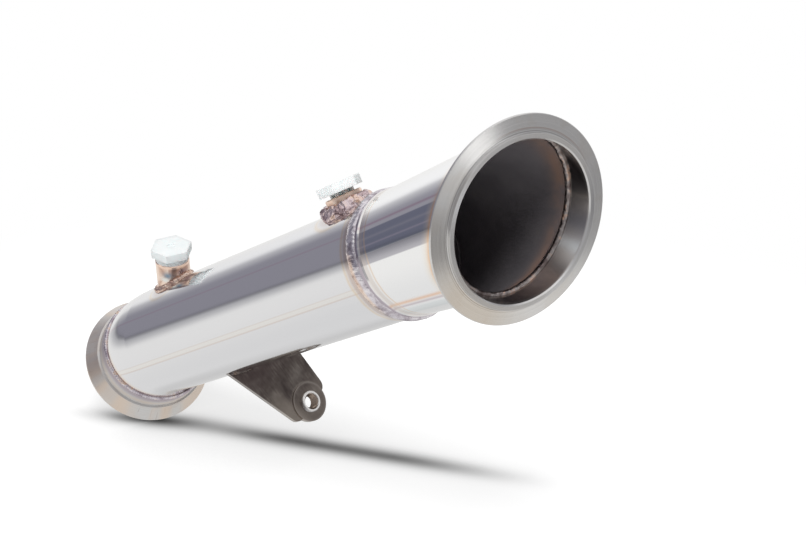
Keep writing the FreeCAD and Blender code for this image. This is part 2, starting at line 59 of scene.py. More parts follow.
PIPE_RADIUS = 0.04445
PIPE_BORE = 0.04295
FACE_TILT = math.radians(29.3)
PIPE_ROLL = math.radians(15.8)
CROSSING = Vector((-0.0114, 0, 0))
JOINT_DISTANCE = 0.1084
CONE_START = 0.0085
CONE_SMALL_RADIUS = 0.0452
CONE_LARGE_RADIUS = 0.0493
CONE_WALL = 0.0015
CONE_SLOPE = (CONE_LARGE_RADIUS - CONE_SMALL_RADIUS) / (JOINT_DISTANCE - CONE_START)
LIP_BORE_RADIUS = 0.0545
SEAT_DEPTH = 0.010
FLANGE_BACK = 0.013
STRAIGHT = 0.322
BEND_RADIUS = 0.105
BEND_ANGLE = math.radians(16.3)
BEND_SIDE = math.radians(118)
STUB = 0.002
BUNG_RADIUS = 0.0138
BRACKET_DISTANCE = 0.235
BRACKET_SIDE = math.radians(131.5)
BRACKET_WIDTH = 0.068
PLATE = 0.004
BOSS_REACH = 0.100
BOSS_RADIUS = 0.0087
BOSS_LENGTH = 0.0094
BOSS_BEHIND = 0.0012
THREAD_RADIUS = 0.0052
THREAD_DEPTH = 0.0008
THREAD_PITCH = 0.00175

# Where each bung stands: its distance from the joint, its side of the pipe and its height over it

Bung = namedtuple("Bung", "distance side stand")
UPPER_BUNG = Bung(0.0365, math.radians(-23.7), 0.0098)
LOWER_BUNG = Bung(0.308, math.radians(-27.8), 0.0208)
LOWER_LEAN = math.radians(35.4)
LOWER_FOOT = LOWER_BUNG.distance - PIPE_RADIUS * math.tan(LOWER_LEAN)

# Directions of the pipe, its outlet, its bungs and its bracket

RISE = Vector((0, math.sin(PIPE_ROLL), math.cos(PIPE_ROLL)))
SWAY = Vector((1, 0, 0)).cross(RISE)
AXIS = Vector((-math.cos(FACE_TILT), 0, 0)) - RISE * math.sin(FACE_TILT)
TOP = Vector((-math.sin(FACE_TILT), 0, 0)) + RISE * math.cos(FACE_TILT)
SIDE = AXIS.cross(TOP)


def round_pipe(angle):
    """The direction at an angle round the pipe from its top."""
    return TOP * math.cos(angle) + SIDE * math.sin(angle)


def along_pipe(distance):
    """The point on the pipe's axis at a distance from the joint."""
    return CROSSING + AXIS * (JOINT_DISTANCE + distance)


BEND_WAY = round_pipe(BEND_SIDE)
BEND_CENTRE = along_pipe(STRAIGHT) + BEND_WAY * BEND_RADIUS
OUTLET_WAY = AXIS * math.cos(BEND_ANGLE) + BEND_WAY * math.sin(BEND_ANGLE)
OUTLET_TOP = AXIS * math.sin(BEND_ANGLE) - BEND_WAY * math.cos(BEND_ANGLE)
OUTLET_START = BEND_CENTRE + OUTLET_TOP * BEND_RADIUS + OUTLET_WAY * STUB
UPPER_WAY = round_pipe(UPPER_BUNG.side)
LOWER_WAY = round_pipe(LOWER_BUNG.side) * math.cos(LOWER_LEAN) - AXIS * math.sin(LOWER_LEAN)
LOWER_TOP = (AXIS - LOWER_WAY * AXIS.dot(LOWER_WAY)).normalized()
BRACKET_WAY = round_pipe(BRACKET_SIDE)
BOSS_WAY = -AXIS
BOSS_START = along_pipe(BRACKET_DISTANCE + PLATE) + BRACKET_WAY * BOSS_REACH - BOSS_WAY * BOSS_BEHIND


# Materials

# Where a point lies round an axis: how far along it, two ways across it, the angle and the radius

Turned = namedtuple("Turned", "along up across angle radius")


class Finish:
    """One procedural material, with short calls that add its nodes."""

    def __init__(self, name, **values):
        self.material = bpy.data.materials.new(name)
        self.material.use_nodes = True
        self.tree = self.material.node_tree
        self.shader = self.tree.nodes["Principled BSDF"]
        for socket, value in values.items():
            self.shader.inputs[socket.replace("_", " ")].default_value = value
        self.place = self.tree.nodes.new("ShaderNodeTexCoord").outputs["Object"]

    def node(self, kind, inputs, **settings):
        """Add a node; each input is a value or another node's output."""
        made = self.tree.nodes.new(kind)
        for setting, value in settings.items():
            setattr(made, setting, value)
        for socket, value in inputs.items():
            if isinstance(value, bpy.types.NodeSocket):
                self.tree.links.new(value, made.inputs[socket])
            else:
                made.inputs[socket].default_value = value
        return made

    def math(self, operation, first, second=0.0):
        return self.node("ShaderNodeMath", {0: first, 1: second}, operation=operation).outputs[0]

    def scaled(self, value, factor):
        return self.math("MULTIPLY", value, factor)

    def both(self, first, second):
        """A mask of what lies in two masks."""
        return self.math("MULTIPLY", first, second)

    def inverse(self, mask):
        return self.math("SUBTRACT", 1.0, mask)

    def degrees(self, angle):
        return self.scaled(angle, 180 / math.pi)

    def vector(self, operation, first, second=(0, 0, 0), output="Vector"):
        return self.node("ShaderNodeVectorMath", {0: first, 1: second}, operation=operation).outputs[output]

    def combine(self, x, y, z):
        return self.node("ShaderNodeCombineXYZ", {0: x, 1: y, 2: z}).outputs[0]

    def noise(self, vector, scale, detail=4.0, roughness=0.55, distortion=0.0):
        inputs = {"Vector": vector, "Scale": scale, "Detail": detail, "Roughness": roughness,
                  "Distortion": distortion}
        return self.node("ShaderNodeTexNoise", inputs).outputs["Fac"]

    def step(self, value, start, end):
        """0 up to start, 1 past end, and smooth between."""
        inputs = {"Value": value, "From Min": start, "From Max": end}
        return self.node("ShaderNodeMapRange", inputs, interpolation_type="SMOOTHSTEP").outputs["Result"]

    def between(self, value, low, high, soft):
        """1 between two values and 0 outside, with soft edges."""
        rise = self.step(value, low - soft, low + soft)
        fall = self.step(value, high + soft, high - soft)
        return self.both(rise, fall)

    def hump(self, value, middle, width):
        """A soft peak of 1 at the middle."""
        off = self.math("DIVIDE", self.math("SUBTRACT", value, middle), width)
        return self.math("EXPONENT", self.scaled(self.both(off, off), -1.0))

    def mix(self, factor, first, second):
        """The first colour where the factor is 0, and the second where it is 1."""
        mixer = self.tree.nodes.new("ShaderNodeMix")
        mixer.data_type = "RGBA"
        for index, value in ((0, factor), (6, first), (7, second)):
            if isinstance(value, bpy.types.NodeSocket):
                self.tree.links.new(value, mixer.inputs[index])
            elif index == 0:
                mixer.inputs[0].default_value = value
            else:
                mixer.inputs[index].default_value = (*value, 1.0)
        return mixer.outputs[2]

    def tinted(self, colour, tints):
        """A colour with tints laid over it; each tint is a mask, its own colour and its strength."""
        for mask, tint, strength in tints:
            colour = self.mix(self.scaled(mask, strength), colour, tint)
        return colour

    def mix_shaders(self, factor, first, second):
        return self.node("ShaderNodeMixShader", {0: factor, 1: first, 2: second}).outputs[0]

    def ramp(self, factor, stops):
        """Colours along a factor; each stop is a place and a colour."""
        made = self.tree.nodes.new("ShaderNodeValToRGB")
        self.tree.links.new(factor, made.inputs[0])
        points = made.color_ramp.elements
        for number, (place, colour) in enumerate(stops):
            point = points[number] if number < 2 else points.new(place)
            point.position = place
            point.color = (*colour, 1.0)
        return made.outputs[0]

    def bump(self, height, distance, strength):
        inputs = {"Height": height, "Distance": distance, "Strength": strength}
        return self.node("ShaderNodeBump", inputs).outputs["Normal"]

    def to_shader(self, **sockets):
        for socket, value in sockets.items():
            self.tree.links.new(value, self.shader.inputs[socket.replace("_", " ")])

    def around(self, origin, axis, top):
        """Where each point lies round an axis."""
        offset = self.vector("SUBTRACT", self.place, tuple(origin))
        along = self.vector("DOT_PRODUCT", offset, tuple(axis), "Value")
        up = self.vector("DOT_PRODUCT", offset, tuple(top), "Value")
        across = self.vector("DOT_PRODUCT", offset, tuple(axis.cross(top)), "Value")
        angle = self.math("ARCTAN2", across, up)
        radius = self.vector("LENGTH", self.combine(up, across, 0.0), output="Value")
        return Turned(along, up, across, angle, radius)


STEEL = (0.80, 0.80, 0.81)
STRAW = (0.80, 0.63, 0.42)

# In the tints below, what goes round a piece is in degrees, and other places and widths are in metres


def seam_and_reflection_tints(f, degrees, on_pipe, on_cone):
    """Seam lines along the pipe and the reducer, and painted reflections on the reducer, by their angle round
    them.
    """
    return [
        # the drawn tube's seam: two fine straw lines, with a pale band between them
        (f.both(f.hump(degrees, -124.3, 0.6), on_pipe), (0.70, 0.60, 0.52), 0.40),
        (f.both(f.hump(degrees, -129.0, 0.8), on_pipe), (0.66, 0.53, 0.45), 0.50),
        (f.both(f.between(degrees, -128.6, -124.6, 0.8), on_pipe), (0.86, 0.82, 0.74), 0.40),
        (f.both(f.hump(degrees, -75.5, 1.0), on_pipe), (0.74, 0.54, 0.62), 0.40),
        # the reducer's red seam line; below it, dark bands of painted dark reflection over heat tint, and
        # pale streaks of painted reflection
        (f.both(f.hump(degrees, -74.2, 1.3), on_cone), (0.66, 0.42, 0.52), 0.60),
        (f.both(f.between(degrees, -98.5, -78.8, 0.8), on_cone), (0.34, 0.37, 0.46), 0.88),
        (f.both(f.hump(degrees, -85.8, 1.2), on_cone), (0.56, 0.57, 0.62), 0.75),
        (f.both(f.hump(degrees, -92.0, 0.8), on_cone), (0.66, 0.63, 0.70), 0.75),
        (f.both(f.between(degrees, -107.6, -98.6, 0.7), on_cone), (0.47, 0.46, 0.50), 0.92),
        # its second seam underneath, with a pale blue patch beyond it
        (f.both(f.hump(degrees, -151.5, 2.0), on_cone), (0.86, 0.56, 0.38), 0.80),
        (f.both(f.hump(degrees, -156.0, 1.6), on_cone), (0.52, 0.42, 0.46), 0.65),
        (f.both(f.between(degrees, -170.0, -160.0, 2.0), on_cone), (0.70, 0.76, 0.77), 0.55),
    ]


def heat_tints(f, from_joint, from_flange, from_outlet, wander):
    """Heat tint beside the tube's welds, by the distances from the joint, both ends and the bungs' feet."""
    tints = [
        # on both sides of the joint
        (f.between(from_joint, 0.004, 0.0120, 0.002), (0.56, 0.44, 0.38), 0.70),
        (f.hump(from_joint, 0.0140, 0.0014), (0.78, 0.62, 0.44), 0.60),
        (f.between(from_joint, -0.0068, 0.000, 0.0008), (0.44, 0.38, 0.43), 0.90),
        (f.between(from_joint, -0.0128, -0.0075, 0.0014), (0.66, 0.57, 0.50), 0.50),
        (f.hump(from_joint, -0.0150, 0.0009), (0.80, 0.62, 0.46), 0.65),
        # by the turbo flange
        (f.step(from_flange, 0.036, 0.027), (0.90, 0.78, 0.60), 0.45),
        (f.hump(from_flange, 0.0265, 0.0024), (0.86, 0.52, 0.30), 0.75),
        (f.hump(from_flange, 0.0215, 0.0030), (0.34, 0.24, 0.26), 0.85),
        # by the outlet flange
        (f.hump(from_outlet, 0.0034, 0.0014), (0.74, 0.54, 0.45), 0.80),
        (f.hump(from_outlet, 0.0066, 0.0020), STRAW, 0.35),
    ]
    bung_feet = ((UPPER_BUNG.distance, UPPER_BUNG.side, 0.0215), (LOWER_FOOT, LOWER_BUNG.side, 0.0185))
    for distance, side, ring in bung_feet:
        foot = along_pipe(distance) + round_pipe(side) * PIPE_RADIUS
        away = f.vector("LENGTH", f.vector("SUBTRACT", f.place, tuple(foot)), output="Value")
        away = f.math("ADD", away, wander)
        tints += [(f.step(away, ring + 0.005, ring), (0.56, 0.46, 0.42), 0.55),
                  (f.hump(away, ring + 0.0055, 0.0016), STRAW, 0.45)]
    return tints


def inside_tube(f, at):
    """A mask of the bore of the pipe and the reducer."""
    inside_pipe = f.step(at.radius, PIPE_BORE + 0.0009, PIPE_BORE + 0.0004)
    # past the straight, the radius doesn't tell inside from outside
    on_straight = f.inverse(f.step(at.along, STRAIGHT - 0.004, STRAIGHT + 0.002))
    middle_at_joint = CONE_SMALL_RADIUS - CONE_WALL / 2 - CONE_SLOPE * CONE_START
    cone_radius = f.math("SUBTRACT", middle_at_joint, f.scaled(at.along, CONE_SLOPE))
    inside_cone = f.both(f.step(f.math("SUBTRACT", at.radius, cone_radius), 0.0001, -0.0003),
                         f.step(at.along, -0.004, -0.008))
    return f.math("MAXIMUM", f.both(inside_pipe, on_straight), inside_cone)


def polished_tube():
    """Polished stainless tube: fine streaks along it, seam lines, painted reflections on the reducer, heat
    tint, and a bore darkened with painted shade.
    """
    f = Finish("polished_tube", Metallic=1.0)
    at = f.around(along_pipe(0), AXIS, TOP)
    streaks = f.noise(f.combine(at.up, at.across, f.scaled(at.along, 0.03)), scale=900, detail=3.0)
    clouds = f.noise(f.place, scale=38, detail=4.0)
    wander = f.scaled(f.math("SUBTRACT", clouds, 0.5), 0.004)
    flange_distance = f.vector("DOT_PRODUCT", f.place, (-1, 0, 0), "Value")
    outlet_offset = f.vector("SUBTRACT", f.place, tuple(OUTLET_START))
    outlet_distance = f.vector("DOT_PRODUCT", outlet_offset, tuple(-OUTLET_WAY), "Value")
    from_joint = f.math("ADD", at.along, wander)
    from_flange = f.math("ADD", flange_distance, wander)
    from_outlet = f.math("ADD", outlet_distance, f.scaled(wander, 0.4))
    on_pipe = f.step(at.along, -0.002, 0.004)
    on_cone = f.inverse(on_pipe)
    colour = f.tinted(STEEL, [(streaks, (0.66, 0.66, 0.69), 0.10), (on_cone, (0.96, 0.96, 0.955), 0.75)])
    colour = f.tinted(colour, seam_and_reflection_tints(f, f.degrees(at.angle), on_pipe, on_cone))
    colour = f.tinted(colour, heat_tints(f, from_joint, from_flange, from_outlet, wander))

    inside = inside_tube(f, at)
    # painted shade: the bore is darkened, darker still close to the turbo flange, with heat tint beside the
    # flange's inner weld
    bore_shade_and_heat_tint = f.ramp(clouds, [(0.35, (0.24, 0.225, 0.245)), (0.62, (0.30, 0.28, 0.30)),
                           (0.80, (0.36, 0.32, 0.30))])
    warm = f.both(f.hump(from_flange, 0.0165, 0.0062), f.step(clouds, 0.30, 0.62))
    bore_shade_and_heat_tint = f.tinted(bore_shade_and_heat_tint, [(warm, (0.55, 0.34, 0.25), 0.85),
                           (f.step(flange_distance, 0.060, 0.014), (0.12, 0.11, 0.115), 0.30)])
    colour = f.mix(inside, colour, bore_shade_and_heat_tint)
    gloss = f.math("ADD", f.scaled(streaks, 0.05), f.scaled(clouds, 0.05))
    roughness = f.math("ADD", f.math("ADD", gloss, 0.045), f.scaled(inside, 0.33))
    f.to_shader(Base_Color=colour, Roughness=roughness, Metallic=f.inverse(f.scaled(inside, 0.55)),
                Normal=f.bump(streaks, distance=0.000004, strength=0.5))
    return f.material


def turned_rings(f, at):
    """Fine rings left by the lathe, as noise on the radius and the length only."""
    return f.noise(f.combine(at.radius, at.along, 0.0), scale=2600, detail=3.0)


def machined_flange(name, origin, axis, top, warm, bore_radius, rough, tints, bore_reflections=()):
    """Machined steel, turned round an axis, with a satin sheen, a smoother bore and, where given, painted
    reflections in the bore.
    """
    f = Finish(name, Metallic=1.0, Anisotropic=0.75, Anisotropic_Rotation=0.25)
    at = f.around(origin, axis, top)
    rings = turned_rings(f, at)
    clouds = f.noise(f.place, scale=45, detail=4.0)
    grooves = f.noise(f.combine(at.radius, at.along, 0.0), scale=420, detail=2.0)
    in_bore = f.step(at.radius, bore_radius, bore_radius - 0.0006)
    colour = f.ramp(rings, [(0.25, (0.64, 0.63, 0.62)), (0.75, (0.76, 0.75, 0.735))])
    colour = f.tinted(colour, [(f.step(grooves, 0.55, 0.75), (0.50, 0.49, 0.48), 0.20),
                               (f.step(clouds, 0.45, 0.65), warm, 0.30),
                               (in_bore, (0.46, 0.42, 0.405), 0.6)])
    colour = tints(f, at, colour)
    degrees = f.degrees(at.angle)
    # painted reflections in the bore, by their angle round it
    for middle, width, tint, amount in bore_reflections:
        colour = f.tinted(colour, [(f.both(in_bore, f.hump(degrees, middle, width)), tint, amount)])

    roughness = f.math("ADD", f.scaled(rings, 0.10), rough)
    roughness = f.math("SUBTRACT", roughness, f.scaled(in_bore, 0.06))
    length = f.math("MAXIMUM", at.radius, 0.001)
    parts = []
    for way, share in ((axis.cross(top), at.up), (-top, at.across)):
        inputs = {0: tuple(way), "Scale": f.math("DIVIDE", share, length)}
        parts.append(f.node("ShaderNodeVectorMath", inputs, operation="SCALE").outputs["Vector"])
    tangent = f.vector("ADD", *parts)
    f.to_shader(Base_Color=colour, Roughness=roughness, Tangent=tangent,
                Normal=f.bump(rings, distance=0.00002, strength=0.30))
    return f.material


def turbo_lines_and_painted_light(f, at, colour):
    """Tool lines beside the turbo flange's lip, and painted light on the lip: a highlight on its edge, two
    highlights and a dark reflection round it.
    """
    degrees = f.degrees(at.angle)
    lip = f.between(at.radius, 0.0547, 0.0583, 0.0002)
    brown_arc = f.both(f.hump(at.radius, 0.0612, 0.0005), f.between(degrees, -35, 30, 15))
    return f.tinted(colour, [
        (f.hump(at.radius, 0.0592, 0.00025), (0.26, 0.25, 0.25), 0.65),
        (f.hump(at.radius, 0.0603, 0.00020), (0.34, 0.32, 0.31), 0.45),
        (brown_arc, (0.44, 0.33, 0.28), 0.55),
        # painted highlight: a bright ring on the lip's edge
        (f.hump(at.radius, 0.0585, 0.00030), (0.92, 0.92, 0.92), 0.50),
        # painted highlights at two places round the lip, and a painted dark reflection at a third
        (f.both(lip, f.hump(degrees, 83, 16)), (0.98, 0.98, 0.98), 0.85),
        (f.both(lip, f.hump(degrees, -132, 14)), (0.90, 0.90, 0.90), 0.6),
        (f.both(lip, f.hump(degrees, -74, 18)), (0.46, 0.46, 0.47), 0.6),
    ])


# Painted reflections in the turbo flange's bore, as dark and light bands and a glare: middle and width in
# degrees, colour, strength

TURBO_BORE_REFLECTIONS = (
    (-67, 2.2, (0.85, 0.80, 0.74), 0.65),
    (-86, 10, (0.24, 0.24, 0.27), 0.80),
    (-104.5, 5.5, (0.97, 1.0, 1.0), 0.95),
    (-122, 8, (0.24, 0.235, 0.24), 0.75),
    (-152, 18, (0.70, 0.56, 0.48), 0.65),
)


def outlet_tints(f, at, colour):
    """Heat tint on the outlet flange's hub beside its weld, and scratches along its shoulder."""
    shoulder = f.step(at.along, 0.0185, 0.0200)
    round_about = f.combine(f.math("COSINE", at.angle), f.math("SINE", at.angle), f.scaled(at.along, 2.0))
    scratches = f.step(f.noise(round_about, scale=34, detail=3.0), 0.60, 0.72)
    warmth = f.step(f.noise(round_about, scale=2.2, detail=2.0), 0.38, 0.60)
    return f.tinted(colour, [
        (f.step(at.along, 0.0120, 0.0030), (0.44, 0.37, 0.43), 0.70),
        (f.hump(at.along, 0.0125, 0.0025), (0.78, 0.64, 0.52), 0.40),
        (f.both(shoulder, scratches), (0.40, 0.31, 0.26), 0.45),
        (f.both(shoulder, warmth), (0.80, 0.66, 0.54), 0.75),
    ])


def weld_metal(name, dark, middle, light, warm, rough):
    """Weld metal in four tones, with bright crests and fine grain."""
    f = Finish(name, Metallic=1.0)
    patches = f.noise(f.place, scale=120, detail=5.0, roughness=0.6, distortion=0.6)
    colour = f.ramp(patches, [(0.30, dark), (0.43, middle), (0.54, light), (0.64, warm), (0.74, middle)])
    grain = f.noise(f.place, scale=1300, detail=3.0)
    roughness = f.math("ADD", f.scaled(grain, 0.20), rough)
    f.to_shader(Base_Color=colour, Roughness=roughness, Normal=f.bump(grain, distance=0.00010, strength=0.6))
    return f.material


def joint_weld_metal():
    """The joint's weld: lilac-grey, with tan and bright copper on the part below its widest place."""
    f = Finish("joint_weld_metal", Metallic=1.0)
    at = f.around(along_pipe(0), AXIS, TOP)
    patches = f.noise(f.place, scale=150, detail=5.0, roughness=0.6, distortion=0.5)
    colour = f.ramp(patches, [(0.32, (0.30, 0.26, 0.29)), (0.44, (0.52, 0.47, 0.51)),
                              (0.58, (0.76, 0.72, 0.76)), (0.72, (0.92, 0.88, 0.87))])
    warm = f.ramp(patches, [(0.36, (0.34, 0.22, 0.18)), (0.48, (0.74, 0.54, 0.42)),
                            (0.64, (0.93, 0.78, 0.66))])
    tan = f.both(f.between(f.degrees(at.angle), -150, -96, 12), f.step(at.along, -0.0010, 0.0018))
    colour = f.tinted(colour, [(tan, warm, 0.85)])
    grain = f.noise(f.place, scale=1300, detail=3.0)
    f.to_shader(Base_Color=colour, Roughness=f.math("ADD", f.scaled(grain, 0.20), 0.16),
                Normal=f.bump(grain, distance=0.00010, strength=0.5))
    return f.material


# The side of the bungs that faces the camera, on which their tint patches lie

CAMERA_FACING_SIDE = Vector((0.768, -0.535, 0.353))


def heated_bung(name, origin, axis, top, rim, blue):
    """Turned steel that the weld has tinted: tan, a bright copper rim, a blue patch and plum."""
    f = Finish(name, Metallic=1.0)
    at = f.around(origin, axis, top)
    patches = f.noise(f.combine(at.up, at.across, f.scaled(at.along, 0.8)), scale=85, detail=3.0,
                      roughness=0.5, distortion=0.8)
    colour = f.ramp(patches, [(0.34, (0.30, 0.18, 0.15)), (0.46, (0.66, 0.46, 0.36)),
                              (0.58, (0.90, 0.72, 0.60))])
    front = math.atan2(CAMERA_FACING_SIDE.dot(axis.cross(top)), CAMERA_FACING_SIDE.dot(top))
    out = f.combine(f.math("COSINE", at.angle), f.math("SINE", at.angle), 0.0)
    turn = f.vector("DOT_PRODUCT", out, (math.cos(front), math.sin(front), 0.0), "Value")
    beside = f.vector("DOT_PRODUCT", out, (-math.sin(front), math.cos(front), 0.0), "Value")
    down = f.math("SUBTRACT", rim, at.along)
    facing = f.step(turn, 0.0, 0.4)

    def patch(middle, width, depth, height):
        """A soft patch on the heated side, by its place beside the middle and its depth below the rim."""
        return f.both(f.both(f.hump(beside, middle, width), f.hump(down, depth, height)), facing)

    colour = f.tinted(colour, [
        (patch(-0.20, 0.30, 0.0088, 0.0034), (0.17, 0.27, 0.36), blue),
        (patch(-0.40, 0.25, 0.0130, 0.0020), (0.80, 0.84, 0.82), blue),
        (patch(0.62, 0.32, 0.0055, 0.0045), (0.20, 0.11, 0.13), 0.85),
        (f.step(down, 0.0036, 0.0014), (0.93, 0.70, 0.57), 0.85),
    ])
    rings = turned_rings(f, at)
    f.to_shader(Base_Color=colour, Roughness=f.math("ADD", f.scaled(rings, 0.10), 0.13),
                Normal=f.bump(rings, distance=0.00003, strength=0.5))
    return f.material


def brushed_bracket():
    """Plate brushed lengthwise, brown-grey, with a purple-brown root, a paler outer end, a pale ring round
    the boss, and painted highlights on one side and along the plate's edge.
    """
    f = Finish("brushed_bracket", Metallic=1.0)
    at = f.around(along_pipe(BRACKET_DISTANCE), AXIS, BRACKET_WAY)
    aslant = f.math("ADD", f.scaled(at.up, 0.98), f.scaled(at.across, 0.17))
    athwart = f.math("SUBTRACT", f.scaled(at.across, 0.98), f.scaled(at.up, 0.17))
    brush = f.noise(f.combine(f.scaled(aslant, 0.07), athwart, 0.0), scale=1100, detail=4.0)
    patches = f.noise(f.place, scale=75, detail=4.0, roughness=0.6)
    shade = f.math("ADD", f.scaled(brush, 0.40), f.scaled(patches, 0.60))
    colour = f.ramp(shade, [(0.36, (0.085, 0.068, 0.064)), (0.50, (0.150, 0.125, 0.112)),
                            (0.64, (0.26, 0.23, 0.205))])
    from_boss = f.combine(f.math("SUBTRACT", at.up, BOSS_REACH), at.across, 0.0)
    from_boss = f.vector("LENGTH", from_boss, output="Value")
    colour = f.tinted(colour, [
        # the root, the outer end, a painted highlight on one side of the outer part, a ring round the boss
        # and a painted highlight on the plate's edge
        (f.step(at.up, 0.072, 0.046), (0.115, 0.080, 0.080), 0.45),
        (f.step(at.up, 0.078, 0.104), (0.36, 0.31, 0.27), 0.50),
        (f.both(f.step(at.across, 0.008, 0.017), f.step(at.up, 0.060, 0.092)), (0.48, 0.42, 0.36), 0.50),
        (f.hump(from_boss, 0.0162, 0.0011), (0.45, 0.40, 0.36), 0.60),
        (f.both(f.step(at.along, 0.0005, 0.0010), f.step(at.along, 0.0037, 0.0030)), (0.60, 0.57, 0.54), 0.6),
    ])
    f.to_shader(Base_Color=colour, Roughness=f.math("ADD", f.scaled(brush, 0.25), 0.30),
                Normal=f.bump(brush, distance=0.00005, strength=0.5))
    return f.material


def turned_boss():
    """Bright turned steel with brown in its thread."""
    f = Finish("turned_boss", Metallic=1.0)
    at = f.around(BOSS_START, BOSS_WAY, BRACKET_WAY)
    rings = turned_rings(f, at)
    colour = f.ramp(rings, [(0.3, (0.58, 0.56, 0.54)), (0.7, (0.78, 0.76, 0.74))])
    in_thread = f.step(at.radius, THREAD_RADIUS + 0.0016, THREAD_RADIUS + 0.0010)
    colour = f.mix(in_thread, colour, (0.34, 0.27, 0.22))
    f.to_shader(Base_Color=colour, Roughness=f.math("ADD", f.scaled(rings, 0.12), 0.20),
                Normal=f.bump(rings, distance=0.00003, strength=0.4))
    return f.material


def milky_plastic():
    """Milky, slightly blue moulded plastic that lets a little light through."""
    f = Finish("milky_plastic", Roughness=0.36, IOR=1.46, Subsurface_Weight=0.60, Subsurface_Scale=0.006)
    f.shader.inputs["Subsurface Radius"].default_value = (0.9, 1.0, 1.0)
    clouds = f.noise(f.place, scale=120, detail=2.0)
    colour = f.ramp(clouds, [(0.3, (0.86, 0.925, 0.935)), (0.7, (0.91, 0.955, 0.96))])
    f.to_shader(Base_Color=colour)
    return f.material


# Meshes

def mesh_piece(name, points, faces, material, replaced):
    """A smooth mesh that rides on the part and stands for one of its nodes."""
    mesh = bpy.data.meshes.new(name)
    mesh.from_pydata(points, [], faces)
    mesh.update()
    mesh.polygons.foreach_set("use_smooth", [True] * len(mesh.polygons))
    mesh.materials.append(material)
    piece = bpy.data.objects.new(name, mesh)
    bpy.context.scene.collection.objects.link(piece)
    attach(piece, "root")
    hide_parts(replaced)


def grid_faces(rows, columns):
    """Quads over a grid that closes both ways."""
    faces = []
    for row in range(rows):
        for column in range(columns):
            after = (column + 1) % columns
            below = (row + 1) % rows
            faces.append((row * columns + column, row * columns + after,
                          below * columns + after, below * columns + column))
    return faces


def turns_round(count):
    """Evenly spaced angles of one full turn."""
    return [2 * math.pi * i / count for i in range(count)]


# How a weld bead's section is made: its points, how far a ripple's middle runs ahead of its
# edges, and the share of the lumps that its lower half keeps

SECTION_POINTS = 28
CRESCENT = 0.55
LOWER_LUMPS = 0.35


class Bead:
    """The closed run of a weld: where it lies, which way it stands, and its size."""

    def __init__(self, points, ups, half_width, height, pitch, ripple, lumps=0.10, lump_size=0.0022,
                 sunk=0.35):
        self.points = points
        self.ups = ups
        self.half_width = half_width
        self.height = height
        self.pitch = pitch
        self.ripple = ripple
        self.lumps = lumps
        self.lump_size = lump_size
        self.sunk = sunk

    def grid(self):
        """The bead's surface, section by section, with its ripples and lumps."""
        count = len(self.points)
        rows = []
        run = 0.0
        for i, (point, up) in enumerate(zip(self.points, self.ups)):
            tangent = (self.points[(i + 1) % count] - self.points[i - 1]).normalized()
            across = tangent.cross(up).normalized()
            if i:
                run += (point - self.points[i - 1]).length
            for turn in turns_round(SECTION_POINTS):
                side, rise = math.cos(turn), math.sin(turn)
                lift = rise if rise > 0 else rise * self.sunk
                crescent = (run / self.pitch + CRESCENT * side * side) % 1.0
                scale = 1.0 + (0.5 - crescent) * self.ripple * max(rise, 0.0)
                spot = point / self.lump_size + across * side * self.half_width / self.lump_size
                upper_share = LOWER_LUMPS + (1 - LOWER_LUMPS) * max(rise, 0.0)
                scale += self.lumps * noise.fractal(spot, 1.0, 2.0, 3) * upper_share
                rows.append(point + across * (side * self.half_width * scale)
                            + up * (lift * self.height * scale))
        return rows

    def add(self, name, material, replaced):
        """The bead as a piece that stands for one of the model's welds."""
        faces = grid_faces(len(self.points), SECTION_POINTS)
        mesh_piece(name, self.grid(), faces, material, replaced)


def circle(centre, first, second, radius, count):
    """Points and outward directions round a circle."""
    outs = [first * math.cos(turn) + second * math.sin(turn) for turn in turns_round(count)]
    return [centre + out * radius for out in outs], outs


def joint_bead(material):
    """The thick bead where the reducer's socket ends on the pipe."""
    past_socket = 0.0006
    points, outs = circle(along_pipe(past_socket), TOP, SIDE, PIPE_RADIUS, count=720)
    Bead(points, outs, half_width=0.0060, height=0.0029, pitch=0.0027, ripple=0.05, lumps=0.15,
         lump_size=0.0050).add("joint_weld_metal", material, "joint_weld")


def outlet_bead(material):
    """The narrow bead between the pipe and the outlet flange's hub."""
    points, outs = circle(OUTLET_START, OUTLET_TOP, OUTLET_WAY.cross(OUTLET_TOP), PIPE_RADIUS, count=560)
    Bead(points, outs, half_width=0.0025, height=0.0018, pitch=0.0020, ripple=0.30).add(
        "outlet_weld_metal", material, "outlet_weld")


def slanted_ring(depth, inset):
    """The closed curve where the reducer's cone meets a plane parallel to the turbo flange."""
    count, rounds = 420, 12
    points, outs = [], []
    for turn in turns_round(count):
        way = RISE * math.cos(turn) + SWAY * math.sin(turn)
        reach = CONE_LARGE_RADIUS
        for _ in range(rounds):
            spot = Vector((-depth, 0, 0)) + way * reach
            off = spot - CROSSING
            along = off.dot(AXIS)
            radius = (off - AXIS * along).length
            wanted = CONE_LARGE_RADIUS - inset - CONE_SLOPE * along
            reach += wanted - radius
        points.append(spot)
        outs.append(way)
    return points, outs


def turbo_beads(inner_material, outer_material):
    """The beads inside and behind the turbo flange."""
    points, outs = slanted_ring(SEAT_DEPTH, CONE_WALL)
    ups = [-out for out in outs]
    Bead(points, ups, half_width=0.0022, height=0.0019, pitch=0.0024, ripple=0.30, lumps=0.22).add(
        "turbo_inner_weld_metal", inner_material, "turbo_inner_weld")
    points, outs = slanted_ring(FLANGE_BACK, 0.0)
    ups = [(out - Vector((1, 0, 0))).normalized() for out in outs]
    Bead(points, ups, half_width=0.0020, height=0.0020, pitch=0.0024, ripple=0.25, lumps=0.12).add(
        "turbo_outer_weld_metal", outer_material, "turbo_outer_weld")


